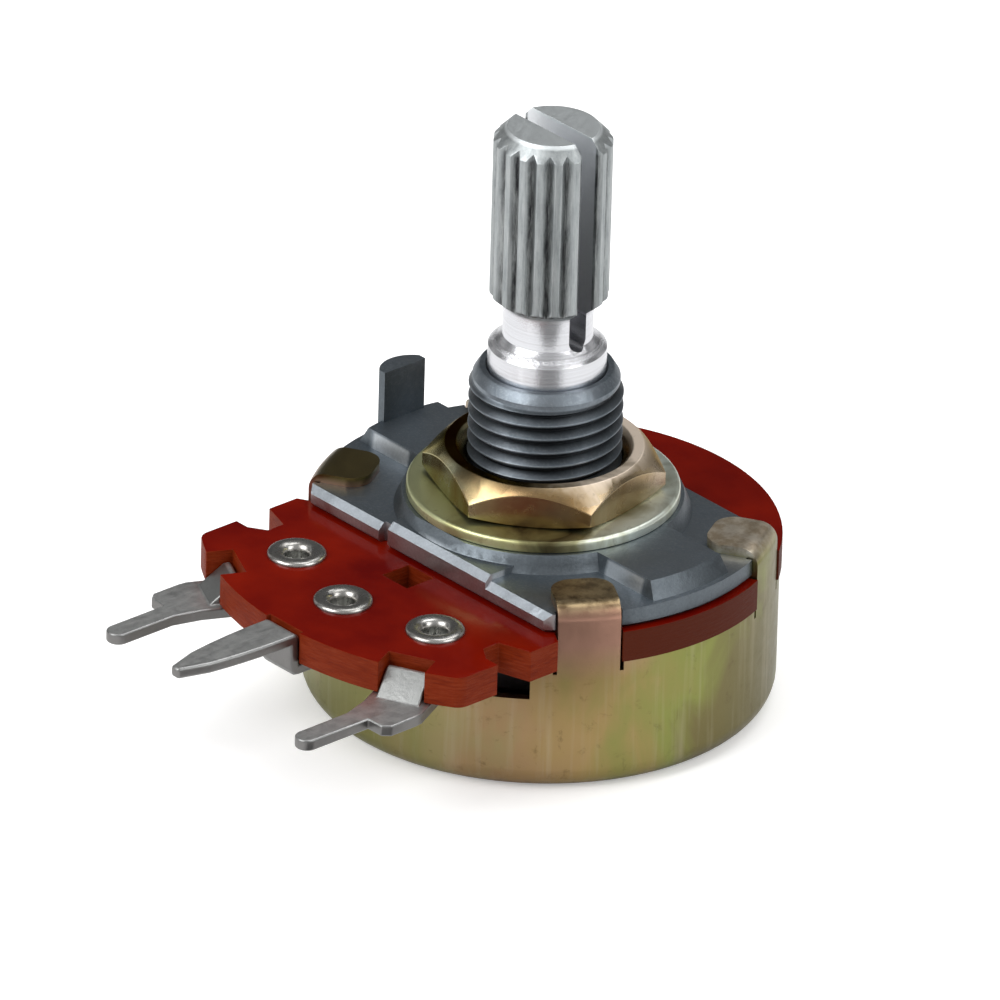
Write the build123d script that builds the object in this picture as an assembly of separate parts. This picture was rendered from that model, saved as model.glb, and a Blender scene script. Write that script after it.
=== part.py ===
from build123d import *
import os
from math import cos, radians, sin, sqrt, tan

os.makedirs("parts", exist_ok=True)

# A rotary potentiometer for panel mounting. All sizes are in millimetres.
# The origin is on the shaft's axis at the mounting face of the plate.
# +Z points out along the shaft and the terminals point towards -Y.

# Shaft: a round spindle with a knurled and slotted end for a push-on knob
shaft_radius = 3.0
shaft_length = 20.4
tip_flat_radius = 2.3
tip_bevel = 0.72
tooth_count = 20
tooth_depth = 0.32
tooth_land = 0.32
knurl_start = 10.65
knurl_lead = 0.6
neck_radius = 2.28
neck_start = 8.9
collar_end = 8.3
slot_width = 1.1
slot_bottom = 8.75
drive_radius = 2.5
drive_flats = 3.9
stake_radius = 2.9
stake_thickness = 0.5
stake_bevel = 0.3

# Plate and bush: one die-casting, low at the lugs and high in a band along X
plate_radius = 11.75
plate_height = 1.95
terrace_drop = 0.9
front_flat = 7.75
rear_flat = 7.0
band_width = 5.0
band_radius = 11.45
band_slope = 0.18
band_end_slope = 0.5
boss_radius = 7.5
boss_slope = 0.4
step_width = 7.4
step_offset = 0.75
step_rise = 0.35
gate_width = 0.7
gate_depth = 0.5
edge_chamfer = 0.2
front_bevel = 0.35
bush_radius = 3.9
bush_length = 7.1
bush_chamfer = 0.45
running_gap = 0.04

# Locating tab: a lens-shaped post that stops the body turning in the panel
tab_width = 2.7
tab_height = 2.8
tab_thickness = 1.1
tab_side = 0.45

# Washer and nut
washer_radius = 6.9
washer_thickness = 0.6
washer_round = 0.15
nut_flats = 10.7
nut_height = 2.1
nut_angle = 41.0
nut_chamfer_slope = 30.0
nut_foot = 0.3
thread_gap = 0.08
thread_mouth = 0.5

# Snap ring and friction washer in a recess under the plate
ring_radius = 4.3
ring_thickness = 0.6
ring_mouth = 3.4
ring_groove_radius = 2.5
recess_radius = 4.8
recess_depth = 1.0
friction_thickness = 0.15
play = 0.05

# Terminal board: a disc under the plate with a tongue for the terminals
board_radius = 12.1
board_thickness = 1.7
tongue_width = 19.9
tongue_radius = 17.25
tongue_corner = 0.8
board_clearance = 0.5
window_width = 1.85
window_length = 1.75
window_distance = 8.95
side_notch_top = 9.4
side_notch_depth = 1.75
side_notch_height = 2.3
fit_gap = 0.1

# Terminals and their rivets
sheet = 0.6
pin_width = 1.2
pin_pitch = 7.2
outer_pin_end = 22.4
middle_pin_end = 24.3
outer_rivet_x = 5.27
outer_rivet_y = 11.75
middle_rivet_y = 13.25
strip_angle = 26.0
strip_width = 2.3
middle_strip_width = 2.3
middle_pin_width = 1.6
strip_round = 1.6
notch_distance = 2.95
hump_height = 1.15
hump_length = 1.75
middle_notch_y = 16.95
middle_level = 0.1
shoulder_y = 18.3
shoulder_width = 1.3
hump_wall = 0.3
rivet_flange_radius = 1.5
rivet_flange = 0.27
rivet_brim = 0.06
rivet_crest_radius = 1.15
rivet_barrel_radius = 1.0
rivet_hollow_radius = 0.62
rivet_hollow_depth = 1.3
rivet_tail_radius = 1.4
rivet_tail = 0.4

# Track, collector and pads on the underside of the board
print_thickness = 0.05
track_outer_radius = 9.2
track_inner_radius = 7.0
track_opening = 64.0
collector_outer_radius = 5.6
collector_inner_radius = 4.1
collector_thickness = 0.15
collector_arm = 2.4

# Rotor and wiper
wiper_space = 1.0
wiper_sheet = 0.2
wiper_base = 1.7
finger_width = 1.4
finger_slit = 0.25
finger_root = -2.7
contact_land = 0.2
contact_gap = 0.03
rotor_radius = 9.8
rotor_thickness = 1.6
hub_radius = 4.4
hub_depth = 1.8
arm_inner_radius = 7.7
arm_outer_radius = 9.8
arm_half_angle = 16.5
arm_depth = 3.0
key_radius = 0.42
key_height = 0.25

# Rear cover: a drawn cup with four lugs, a cut-out and a pressed-in stop
cover_radius = 12.0
cover_sheet = 0.5
cover_depth = 7.15
cover_corner = 1.3
lug_angles = (30.0, 150.0, 210.0, 330.0)
lug_width = 3.2
lug_tip_radius = 8.9
lug_tip_round = 1.1
lug_bend = 0.9
lug_relief_width = 0.2
lug_relief_depth = 0.5
cut_out_half_angle = 46.0
cut_out_depth = 1.9
stop_half_width = 1.75
stop_inner_radius = 7.5
stop_outer_radius = 9.9
stop_height = 1.9

# Heights that follow from the sizes above
terrace_top = -terrace_drop
board_top = -plate_height
board_bottom = board_top - board_thickness
pad_bottom = board_bottom - print_thickness
collector_bottom = board_bottom - collector_thickness
rotor_top = collector_bottom - wiper_space
rotor_bottom = rotor_top - rotor_thickness
hub_bottom = rotor_bottom - hub_depth
cover_back = board_bottom - cover_depth
nut_bottom = washer_thickness
recess_top = board_top + recess_depth
ring_top = recess_top - friction_thickness - 2 * play
ring_bottom = ring_top - ring_thickness
outer_mean = (track_outer_radius + track_inner_radius) / 2
inner_mean = (collector_outer_radius + collector_inner_radius) / 2


def slab(sketch, low, high):
    """A plan outline raised between two heights."""
    return extrude(Pos(0, 0, low) * sketch, amount=high - low)


def turned(points):
    """A solid of revolution about Z from (radius, height) points."""
    return revolve(make_face(Plane.XZ * Polyline(*points, close=True)), Axis.Z)


def block(low_x, high_x, low_y, high_y):
    """A rectangle in plan, given by its sides."""
    width = high_x - low_x
    depth = high_y - low_y
    return Pos((low_x + high_x) / 2, (low_y + high_y) / 2) * Rectangle(width, depth)


def sector(outer, inner, start, sweep):
    """A piece of a flat ring in plan, from a start angle."""
    outer_arc = CenterArc((0, 0), outer, start, sweep)
    inner_arc = CenterArc((0, 0), inner, start, sweep)
    first_side = Line(outer_arc @ 0, inner_arc @ 0)
    last_side = Line(outer_arc @ 1, inner_arc @ 1)
    return make_face([outer_arc, last_side, inner_arc, first_side])


def round_ended_strip(length, width):
    """A strip along +X that starts with a half circle about the origin."""
    return Circle(width / 2) + block(0, length, -width / 2, width / 2)


def lug_windows(clearance):
    """Plan rectangles outside the lugs' curved inner faces, one at each lug."""
    inner = sqrt((cover_radius - cover_sheet) ** 2 - (lug_width / 2) ** 2) - clearance
    half = lug_width / 2 + clearance
    return [Rot(0, 0, angle) * block(inner, 2 * cover_radius, -half, half) for angle in lug_angles]


def save(shape, node):
    export_step(shape, "parts/" + node + ".step")


def make_shaft():
    """The spindle, turned, then knurled and slotted."""
    stake_bottom = hub_bottom - stake_thickness
    body = turned(
        [
            (0, stake_bottom),
            (stake_radius - stake_bevel, stake_bottom),
            (stake_radius, stake_bottom + stake_bevel),
            (stake_radius, hub_bottom),
            (drive_radius, hub_bottom),
            (drive_radius, rotor_top),
            (shaft_radius, rotor_top),
            (shaft_radius, ring_bottom - play),
            (ring_groove_radius, ring_bottom - play),
            (ring_groove_radius, ring_top + play),
            (shaft_radius, ring_top + play),
            (shaft_radius, collar_end),
            (neck_radius, neck_start),
            (neck_radius, knurl_start),
            (shaft_radius, knurl_start + knurl_lead),
            (shaft_radius, shaft_length - tip_bevel),
            (tip_flat_radius, shaft_length),
            (0, shaft_length),
        ]
    )
    # The knurl's grooves run out on the bevels at both of its ends, which points the teeth.
    root_radius = shaft_radius - tooth_depth
    pitch_angle = 360 / tooth_count
    mouth_radius = shaft_radius + 0.1
    spread = 1 + 0.1 / tooth_depth
    half_mouth = spread * (shaft_radius * radians(pitch_angle) - tooth_land) / 2
    groove_section = make_face(
        Polyline((root_radius, 0), (mouth_radius, half_mouth), (mouth_radius, -half_mouth), close=True)
    )
    groove = slab(groove_section, knurl_start - 0.5, shaft_length + 0.5)
    body -= [Rot(0, 0, (number + 0.5) * pitch_angle) * groove for number in range(tooth_count)]
    # The slot is cut along X, with a round bottom.
    half_slot = slot_width / 2
    slot_end = Plane.YZ * Pos(0, slot_bottom + half_slot) * Circle(half_slot)
    slot_walls = Plane.YZ * Pos(0, (slot_bottom + half_slot + shaft_length + 1) / 2) * Rectangle(
        slot_width, shaft_length + 1 - slot_bottom - half_slot
    )
    body -= extrude(slot_end + slot_walls, amount=2 * shaft_radius, both=True)
    # Two flats inside the hub drive the rotor.
    for side in (-1, 1):
        near = drive_flats / 2
        flat = block(-shaft_radius, shaft_radius, min(side * near, side * 4), max(side * near, side * 4))
        body -= slab(flat, hub_bottom, rotor_top)
    return body


def make_mounting_plate():
    """The casting: plate, raised band, boss, bush and locating tab."""
    reach = plate_radius + 1
    flats = block(-reach, reach, -front_flat, rear_flat)
    body = slab(Circle(plate_radius) & flats, board_top, terrace_top)
    body = chamfer(body.faces().sort_by(Axis.Z)[0].edges(), edge_chamfer)
    band_low = slab(Circle(band_radius) & Rectangle(2 * reach, band_width), terrace_top, 0)
    body += band_low & band_taper(reach)
    body += turned(
        [(0, board_top + 0.5), (boss_radius, board_top + 0.5), (boss_radius, terrace_top),
         (boss_radius - boss_slope, 0), (0, 0)]
    )
    # A low step runs along the front edge, beside the mark left by the casting gate.
    step_left = step_offset - step_width / 2
    step_right = step_offset + step_width / 2
    body += slab(block(step_left, step_right, -front_flat, -5), terrace_top, terrace_top + step_rise)
    gate = block(step_left - gate_width, step_left, -front_flat, -front_flat + gate_depth)
    body -= slab(gate, board_top, 0)
    # The front edges are bevelled, at the step and on both sides of it.
    body -= front_wedge(-reach, step_left - gate_width, terrace_top)
    body -= front_wedge(step_left, step_right, terrace_top + step_rise)
    body -= front_wedge(step_right, reach, terrace_top)
    # The lugs of the cover pass through these flats.
    body -= [slab(window, board_top, terrace_top) for window in lug_windows(fit_gap)]
    # The tab's outer side is an arc, its inner side is flat.
    tab_inner = -plate_radius + tab_thickness
    tab_side_x = tab_inner - tab_side
    half_tab = tab_width / 2
    tab_outline = make_face(
        [
            Polyline((tab_side_x, half_tab), (tab_inner, half_tab), (tab_inner, -half_tab),
                     (tab_side_x, -half_tab)),
            ThreePointArc((tab_side_x, -half_tab), (-plate_radius, 0), (tab_side_x, half_tab)),
        ]
    )
    body += slab(tab_outline, terrace_top, tab_height)
    # The bush, with the bore that the shaft runs in and the recess for the snap ring.
    body += turned(
        [
            (0, -0.5),
            (bush_radius, -0.5),
            (bush_radius, bush_length - bush_chamfer),
            (bush_radius - bush_chamfer, bush_length),
            (0, bush_length),
        ]
    )
    body -= slab(Circle(shaft_radius + running_gap), board_top, bush_length)
    body -= slab(Circle(recess_radius), board_top, recess_top)
    return body


def front_wedge(low_x, high_x, top):
    """What a bevel takes off the plate's front edge between two sides."""
    corner = Polyline(
        (-front_flat - 1, top - front_bevel - 1),
        (-front_flat + front_bevel + 1, top + 1),
        (-front_flat - 1, top + 1),
        close=True,
    )
    return Pos(low_x, 0, 0) * extrude(make_face(Plane.YZ * corner), amount=high_x - low_x)


def band_taper(reach):
    """The band's sloping sides, steep along it and gentler at its rounded ends."""
    half = band_width / 2
    sides = make_face(
        Plane.YZ
        * Polyline((-half, terrace_top), (half, terrace_top), (half - band_slope, 0), (band_slope - half, 0),
                   close=True)
    )
    ends = turned(
        [(0, terrace_top), (band_radius, terrace_top), (band_radius - band_end_slope, 0), (0, 0)]
    )
    return extrude(sides, amount=reach, both=True) & ends


def make_flat_washer():
    """A punched washer, with the rounded rim that the punch leaves on one side."""
    hole = bush_radius + 3 * thread_gap
    body = slab(Circle(washer_radius) - Circle(hole), 0, washer_thickness)
    rim = body.faces().sort_by(Axis.Z)[-1].edges().sort_by(SortBy.RADIUS)[-1]
    return fillet(rim, washer_round)


def make_hex_nut():
    """A hexagon prism, chamfered by the cones of a turned blank."""
    corner = nut_flats / 2 / cos(radians(30))
    hexagon = Rot(0, 0, nut_angle) * RegularPolygon(corner, 6)
    bore = bush_radius + thread_gap
    top = nut_bottom + nut_height
    drop = (corner - nut_flats / 2 + 0.15) * tan(radians(nut_chamfer_slope))
    body = slab(hexagon, nut_bottom, top)
    blank = turned(
        [
            (0, nut_bottom),
            (nut_flats / 2 - 0.1, nut_bottom),
            (corner, nut_bottom + nut_foot),
            (corner, top - 2 * drop),
            (nut_flats / 2 - 0.35, top),
            (0, top),
        ]
    )
    hole = turned(
        [
            (0, nut_bottom),
            (bore + thread_mouth / 2, nut_bottom),
            (bore, nut_bottom + thread_mouth / 2),
            (bore, top - thread_mouth),
            (bore + thread_mouth, top),
            (0, top),
        ]
    )
    return (body & blank) - hole


def make_retaining_ring():
    """A snap ring, open on one side, that turns with the shaft."""
    mouth = block(0, 2 * ring_radius, -ring_mouth / 2, ring_mouth / 2)
    outline = Circle(ring_radius) - Circle(ring_groove_radius) - mouth
    return slab(outline, ring_bottom, ring_top)


def make_friction_washer():
    low = recess_top - play - friction_thickness
    return slab(Circle(ring_radius) - Circle(shaft_radius + fit_gap), low, recess_top - play)


def strip_frame():
    """Place of the right terminal's strip: +X runs from its rivet to its pin."""
    return Pos(outer_rivet_x, -outer_rivet_y) * Rot(0, 0, strip_angle - 90)


def strip_point(along, across):
    """A point of the right terminal's strip, in plan."""
    angle = radians(strip_angle - 90)
    x = outer_rivet_x + along * cos(angle) - across * sin(angle)
    y = -outer_rivet_y + along * sin(angle) + across * cos(angle)
    return (x, y)


def make_terminal_board():
    tongue = block(-tongue_width / 2, tongue_width / 2, -2 * tongue_radius, 0) & Circle(tongue_radius)
    corners = tongue.vertices().filter_by(lambda corner: corner.Y < -board_radius)
    outline = Circle(board_radius) + fillet(corners, tongue_corner)
    outline -= Circle(shaft_radius + board_clearance)
    outline -= Pos(0, -window_distance) * Rectangle(window_width, window_length)
    outline -= lug_windows(fit_gap)
    for side in (-1, 1):
        edge = side * tongue_width / 2
        floor = edge - side * side_notch_depth
        side_notch = Polyline(
            (edge + side, -side_notch_top),
            (edge, -side_notch_top - 0.15),
            (floor, -side_notch_top - 0.7),
            (floor, -side_notch_top - side_notch_height * 0.75),
            (floor + side * 0.9, -side_notch_top - side_notch_height),
            (edge + side, -side_notch_top - side_notch_height),
            close=True,
        )
        outline -= make_face(side_notch)
    notch_half = strip_width / 2 + fit_gap
    notch = block(notch_distance, 2 * tongue_radius, -notch_half, notch_half)
    right_notch = strip_frame() * notch
    outline -= right_notch
    outline -= mirror(right_notch, Plane.YZ)
    middle_half = middle_strip_width / 2 + fit_gap
    outline -= block(-middle_half, middle_half, -2 * tongue_radius, -middle_notch_y)
    for x, y in ((-outer_rivet_x, -outer_rivet_y), (0, -middle_rivet_y), (outer_rivet_x, -outer_rivet_y)):
        outline -= Pos(x, y) * Circle(rivet_barrel_radius)
    return slab(outline, board_bottom, board_top)


def make_terminal_right():
    """Riveted under the board, with a pressed hump in its notch, then flat to the pin."""
    strip_end = notch_distance + hump_length + 0.6
    top = pad_bottom
    low = top - sheet
    inner = pin_pitch - pin_width / 2
    outer = pin_pitch + pin_width / 2
    foot = make_face(
        Polyline(
            (inner, -shoulder_y - 0.4),
            strip_point(strip_end, -strip_round),
            strip_point(notch_distance, 0),
            strip_point(strip_end, strip_round),
            (outer + shoulder_width, 2.0 - shoulder_y),
            (outer + shoulder_width, 0.4 - shoulder_y),
            (outer + shoulder_width - 0.35, -shoulder_y),
            (outer, -shoulder_y),
            (outer, -outer_pin_end + pin_width / 2),
            (inner, -outer_pin_end + pin_width / 2),
            close=True,
        )
    )
    tip = Pos(pin_pitch, -outer_pin_end + pin_width / 2) * Circle(pin_width / 2)
    strip = round_ended_strip(strip_end, 2 * strip_round)
    flat = slab(foot + tip + strip_frame() * strip, low, top)
    rise = notch_distance + fit_gap
    fold = rise + hump_length
    crest = top + hump_height
    profile = make_face(
        Polyline(
            (rise, low),
            (rise, crest - 0.2),
            (rise + 0.15, crest),
            (rise + 0.45, crest - 0.05),
            (fold, top),
            (fold, low),
            close=True,
        )
    )
    hollow = make_face(
        Polyline(
            (rise + hump_wall, low),
            (rise + hump_wall, crest - 0.45),
            (rise + hump_wall + 0.2, crest - 0.45),
            (fold - 0.5, low),
            close=True,
        )
    )
    hump = extrude(Plane.XZ * profile, amount=strip_width / 2, both=True)
    dent = extrude(Plane.XZ * hollow, amount=strip_width / 2 - hump_wall, both=True)
    hole = slab(Pos(outer_rivet_x, -outer_rivet_y) * Circle(rivet_barrel_radius), low, top)
    return flat + strip_frame() * hump - strip_frame() * dent - hole


def make_terminal_middle():
    """Riveted under the board, bent up round its edge, then flat to a pointed pin."""
    under_top = collector_bottom
    upper_top = board_top - middle_level
    half = middle_strip_width / 2
    inner_wall = -middle_notch_y - fit_gap
    outer_wall = inner_wall - sheet
    profile = make_face(
        Polyline(
            (-middle_rivet_y + 2, under_top),
            (inner_wall, under_top),
            (inner_wall, upper_top - 0.25),
            (inner_wall - 0.25, upper_top),
            (-middle_pin_end - 1, upper_top),
            (-middle_pin_end - 1, upper_top - sheet),
            (outer_wall, upper_top - sheet),
            (outer_wall, under_top),
            (outer_wall + 0.1, under_top - sheet * 0.6),
            (outer_wall + 0.3, under_top - sheet * 0.9),
            (outer_wall + 0.6, under_top - sheet),
            (-middle_rivet_y + 2, under_top - sheet),
            close=True,
        )
    )
    bent = extrude(Plane.YZ * profile, amount=strip_round, both=True)
    half_pin = middle_pin_width / 2
    taper_start = outer_wall - 0.3
    point_start = -middle_pin_end + 1.7
    plan = make_face(
        [
            Polyline((-half, taper_start), (-half, -middle_rivet_y), (half, -middle_rivet_y),
                     (half, taper_start)),
            Spline((half, taper_start), (half - 0.05, taper_start - 1.8), (half_pin, point_start)),
            Polyline((half_pin, point_start), (0.28, -middle_pin_end), (-0.28, -middle_pin_end),
                     (-half_pin, point_start)),
            Spline((-half_pin, point_start), (0.05 - half, taper_start - 1.8), (-half, taper_start)),
        ]
    )
    plan += Pos(0, -middle_rivet_y) * Circle(strip_round)
    body = bent & slab(plan, under_top - sheet - 1, upper_top + 1)
    hole = slab(Pos(0, -middle_rivet_y) * Circle(rivet_barrel_radius), under_top - sheet, under_top)
    return body - hole


def make_rivet(x, y, clamped_bottom):
    """A hollow rivet with a rolled flange, set from the top of the board."""
    flange_top = board_top + rivet_flange
    tail_bottom = clamped_bottom - rivet_tail
    hollow_bottom = flange_top - rivet_hollow_depth
    brim = (rivet_flange_radius, board_top + rivet_brim)
    crest = (rivet_crest_radius, flange_top)
    mouth = (rivet_hollow_radius, board_top - 0.25)
    # The flange is rolled: a round back outside and a smooth bowl down into the shank.
    section = [
        Polyline(
            mouth,
            (rivet_hollow_radius, hollow_bottom),
            (0, hollow_bottom - 0.2),
            (0, tail_bottom),
            (rivet_tail_radius - 0.25, tail_bottom),
            (rivet_tail_radius, tail_bottom + 0.2),
            (rivet_tail_radius, clamped_bottom),
            (rivet_barrel_radius, clamped_bottom),
            (rivet_barrel_radius, board_top),
            (rivet_flange_radius, board_top),
            brim,
        ),
        ThreePointArc(brim, (rivet_crest_radius + 0.22, flange_top - 0.05), crest),
        ThreePointArc(crest, (rivet_crest_radius - 0.3, flange_top - 0.12), mouth),
    ]
    rivet = revolve(make_face([Plane.XZ * edge for edge in section]), Axis.Z)
    return Pos(x, y, 0) * rivet


def make_resistive_track():
    track = sector(track_outer_radius, track_inner_radius, -90 + track_opening / 2, 360 - track_opening)
    return slab(track, pad_bottom, board_bottom)


def make_track_pad_right():
    """Silver print from the end of the track to the outer rivet."""
    end = sector(track_outer_radius, track_inner_radius, -90 + track_opening / 2 - 14, 14)
    angle = radians(-90 + track_opening / 2 - 7)
    start_x = track_outer_radius * cos(angle)
    start_y = track_outer_radius * sin(angle)
    lead = make_face(
        Polyline(
            (start_x - 1.1, start_y + 0.55),
            (start_x + 1.1, start_y + 0.55),
            (outer_rivet_x + strip_round, -outer_rivet_y),
            (outer_rivet_x - strip_round, -outer_rivet_y),
            close=True,
        )
    )
    eye = Pos(outer_rivet_x, -outer_rivet_y) * (Circle(strip_round) - Circle(rivet_barrel_radius))
    lead -= Pos(outer_rivet_x, -outer_rivet_y) * Circle(rivet_barrel_radius)
    track = sector(track_outer_radius, track_inner_radius, -90 + track_opening / 2, 360 - track_opening)
    return slab(end + lead + eye - track, pad_bottom, board_bottom)


def make_collector_ring():
    """The inner contact ring with its arm, and a small tab up into the board's window."""
    ring = Circle(collector_outer_radius) - Circle(collector_inner_radius)
    arm = block(-collector_arm / 2, collector_arm / 2, -middle_rivet_y, -collector_inner_radius - 0.5)
    eye = Pos(0, -middle_rivet_y) * Circle(strip_round)
    outline = ring + arm + eye - Pos(0, -middle_rivet_y) * Circle(rivet_barrel_radius)
    body = slab(outline, collector_bottom, board_bottom)
    tab_low = -window_distance - window_length / 2 + fit_gap
    tab = block(-window_width / 2 + fit_gap, window_width / 2 - fit_gap, tab_low, tab_low + 0.4)
    return body + slab(tab, board_bottom, board_bottom + board_thickness / 2)


def make_rotor():
    """Moulded carrier: a disc with a hub, the stop arm and two keys for the wiper."""
    body = slab(Circle(rotor_radius), rotor_bottom, rotor_top)
    body = fillet(body.edges().filter_by(GeomType.CIRCLE), 0.3)
    body += slab(Circle(hub_radius), hub_bottom, rotor_bottom)
    arm = sector(arm_outer_radius - 0.3, arm_inner_radius, 90 - arm_half_angle, 2 * arm_half_angle)
    body += slab(arm, rotor_bottom - arm_depth, rotor_bottom + 0.4)
    drive = Circle(drive_radius) & Rectangle(2 * shaft_radius, drive_flats)
    body -= slab(drive, hub_bottom, rotor_top)
    body += [slab(key, rotor_top, rotor_top + wiper_sheet + key_height) for key in wiper_keys()]
    return body


def finger(radius, contact_height):
    """A slit leaf that rises from the wiper's base to its track and curls at the end."""
    floor = rotor_top
    peak = contact_height - contact_gap
    profile = make_face(
        Polyline(
            (finger_root, floor),
            (finger_root, floor + wiper_sheet),
            (-contact_land, peak),
            (contact_land, peak),
            (2.5 * contact_land, peak - 0.35),
            (2.5 * contact_land, peak - 0.35 - wiper_sheet),
            (contact_land, peak - wiper_sheet),
            (-contact_land / 2, peak - wiper_sheet),
            (finger_root + 0.3, floor),
            close=True,
        )
    )
    leaf = extrude(Plane.XZ * profile, amount=finger_width / 2, both=True)
    slit = slab(block(finger_root + 0.8, 1, -finger_slit / 2, finger_slit / 2), floor - 1, peak + 1)
    return Pos(0, radius, 0) * (leaf - slit)


def wiper_keys():
    """Plan of the two moulded keys that hold the wiper's base."""
    spread = (outer_mean - inner_mean) / 4
    middle = (outer_mean + inner_mean) / 2
    key_x = finger_root - wiper_base / 2
    return [Pos(key_x, middle + side * spread) * Circle(key_radius) for side in (-1, 1)]


def make_wiper():
    """Sprung contact: a base held on the rotor's keys, with a finger for each track."""
    half = finger_width / 2
    base = block(finger_root - wiper_base, finger_root, inner_mean - half, outer_mean + half)
    body = slab(base - wiper_keys(), rotor_top, rotor_top + wiper_sheet)
    return body + finger(outer_mean, pad_bottom) + finger(inner_mean, collector_bottom)


def make_rear_cover():
    """Drawn cup with folded lugs, the terminal cut-out and the pressed-in stop."""
    cup = slab(Circle(cover_radius), cover_back, board_bottom)
    cup = fillet(cup.faces().sort_by(Axis.Z)[0].edges(), cover_corner)
    hollow = slab(Circle(cover_radius - cover_sheet), cover_back + cover_sheet, board_bottom)
    hollow = fillet(hollow.faces().sort_by(Axis.Z)[0].edges(), cover_corner - cover_sheet)
    cup -= hollow
    # The stop is pressed in from the back, so it is hollow from outside.
    middle = (stop_inner_radius + stop_outer_radius) / 2
    length = stop_outer_radius - stop_inner_radius
    place = Pos(0, -middle)
    pressed = slab(place * Rectangle(2 * stop_half_width, length), cover_back, stop_top())
    pressed = fillet(pressed.edges().filter_by(Axis.Z), 0.6)
    dent = slab(
        place * Rectangle(2 * (stop_half_width - cover_sheet), length - 2 * cover_sheet),
        cover_back,
        stop_top() - cover_sheet,
    )
    cup = cup + pressed - dent
    # Wall cut-out under the terminals, between two radial sides.
    cut = sector(
        cover_radius + 1, cover_radius - 2, -90 - cut_out_half_angle, 2 * cut_out_half_angle
    )
    cup -= slab(cut, board_bottom - cut_out_depth, board_bottom)
    # The lugs: wall thickness all the way, folded inwards on the plate.
    inner = cover_radius - cover_sheet
    lug_top = terrace_top + cover_sheet
    fold = make_face(
        Plane.XZ
        * Polyline(
            (inner, board_bottom - 1.2),
            (cover_radius, board_bottom - 1.2),
            (cover_radius, lug_top),
            (lug_tip_radius - 1, lug_top),
            (lug_tip_radius - 1, terrace_top),
            (inner, terrace_top),
            close=True,
        )
    )
    band = revolve(fold, Axis.Z)
    outer_corner = band.edges().filter_by(GeomType.CIRCLE).filter_by(
        lambda edge: edge.radius > inner + 0.1 and edge.center().Z > terrace_top
    )
    band = fillet(outer_corner, min(lug_bend, cover_sheet * 1.8))
    half = lug_width / 2
    plan = block(lug_tip_radius, 2 * cover_radius, -half, half)
    plan = fillet(plan.vertices().group_by(Axis.X)[0], lug_tip_round)
    for angle in lug_angles:
        cup += band & slab(Rot(0, 0, angle) * plan, board_bottom - 1.2, lug_top + 1)
        for side in (-1, 1):
            near = half if side > 0 else -half - lug_relief_width
            relief = block(inner - 1, cover_radius + 1, near, near + lug_relief_width)
            cup -= slab(Rot(0, 0, angle) * relief, board_bottom - lug_relief_depth, board_bottom)
    return cup


def stop_top():
    """Height of the pressed-in stop inside the cover."""
    return cover_back + cover_sheet + stop_height


terminal_right = make_terminal_right()
track_pad_right = make_track_pad_right()
terminal_bottom = pad_bottom - sheet

save(make_shaft(), "shaft")
save(make_mounting_plate(), "mounting_plate")
save(make_flat_washer(), "flat_washer")
save(make_hex_nut(), "hex_nut")
save(make_retaining_ring(), "retaining_ring")
save(make_friction_washer(), "friction_washer")
save(make_terminal_board(), "terminal_board")
save(terminal_right, "terminal_right")
save(mirror(terminal_right, Plane.YZ), "terminal_left")
save(make_terminal_middle(), "terminal_middle")
save(make_rivet(outer_rivet_x, -outer_rivet_y, terminal_bottom), "rivet_right")
save(make_rivet(-outer_rivet_x, -outer_rivet_y, terminal_bottom), "rivet_left")
save(make_rivet(0, -middle_rivet_y, collector_bottom - sheet), "rivet_middle")
save(make_resistive_track(), "resistive_track")
save(track_pad_right, "track_pad_right")
save(mirror(track_pad_right, Plane.YZ), "track_pad_left")
save(make_collector_ring(), "collector_ring")
save(make_rotor(), "rotor")
save(make_wiper(), "wiper")
save(make_rear_cover(), "rear_cover")
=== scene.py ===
import math

import bmesh
import bpy
from mathutils import Matrix, Vector


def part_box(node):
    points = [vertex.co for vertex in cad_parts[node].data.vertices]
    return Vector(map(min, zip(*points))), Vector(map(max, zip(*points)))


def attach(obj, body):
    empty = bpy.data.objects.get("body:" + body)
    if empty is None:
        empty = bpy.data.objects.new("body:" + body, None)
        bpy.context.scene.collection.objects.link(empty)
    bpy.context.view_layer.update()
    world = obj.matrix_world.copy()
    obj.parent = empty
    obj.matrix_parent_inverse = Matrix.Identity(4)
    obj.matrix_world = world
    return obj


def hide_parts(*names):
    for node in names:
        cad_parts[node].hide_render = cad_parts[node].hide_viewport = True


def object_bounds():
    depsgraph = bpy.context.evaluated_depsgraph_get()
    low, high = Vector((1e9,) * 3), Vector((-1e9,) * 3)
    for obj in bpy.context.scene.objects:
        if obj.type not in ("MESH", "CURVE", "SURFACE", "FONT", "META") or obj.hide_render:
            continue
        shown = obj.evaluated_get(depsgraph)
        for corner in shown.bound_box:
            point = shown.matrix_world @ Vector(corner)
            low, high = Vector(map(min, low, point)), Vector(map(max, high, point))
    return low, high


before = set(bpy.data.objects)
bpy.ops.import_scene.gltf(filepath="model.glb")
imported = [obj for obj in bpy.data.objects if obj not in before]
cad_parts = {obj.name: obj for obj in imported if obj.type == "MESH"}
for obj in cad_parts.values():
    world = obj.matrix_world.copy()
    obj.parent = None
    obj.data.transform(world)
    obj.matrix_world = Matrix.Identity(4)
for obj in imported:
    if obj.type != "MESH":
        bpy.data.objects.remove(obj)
cad_low, cad_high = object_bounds()


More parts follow.
